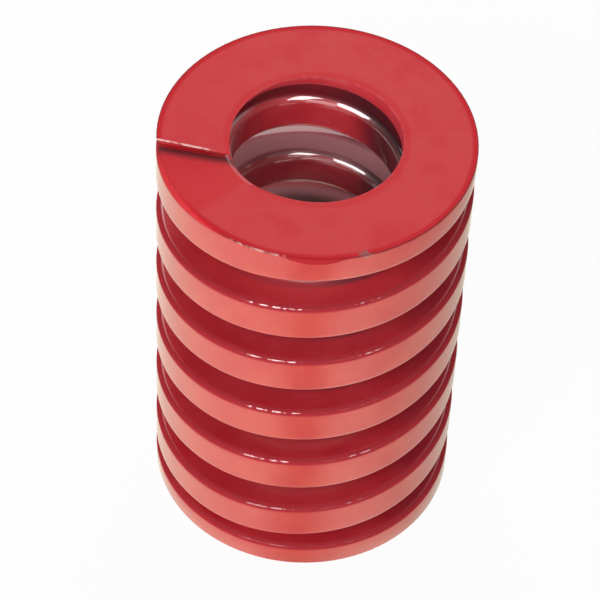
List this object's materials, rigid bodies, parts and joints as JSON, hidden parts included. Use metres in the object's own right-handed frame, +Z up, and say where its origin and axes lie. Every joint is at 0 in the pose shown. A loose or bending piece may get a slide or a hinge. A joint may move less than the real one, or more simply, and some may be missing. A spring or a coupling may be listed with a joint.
{
  "type": "die spring",
  "caption": "Red painted die spring of rounded rectangular wire, coiled right-handed, with closed and ground flat ends.",
  "frame": {"origin": "middle of the bottom ground face, on the coil axis", "axes": "+Z up along the coil axis, -Y towards the front, +X to the front's right"},
  "size_m": [0.0494, 0.0494, 0.076],
  "materials": {
    "red_paint": "glossy red paint over steel, satin on the ground ends"
  },
  "bodies": {
    "root": {"coil_spring": "red_paint"}
  },
  "joints": []
}
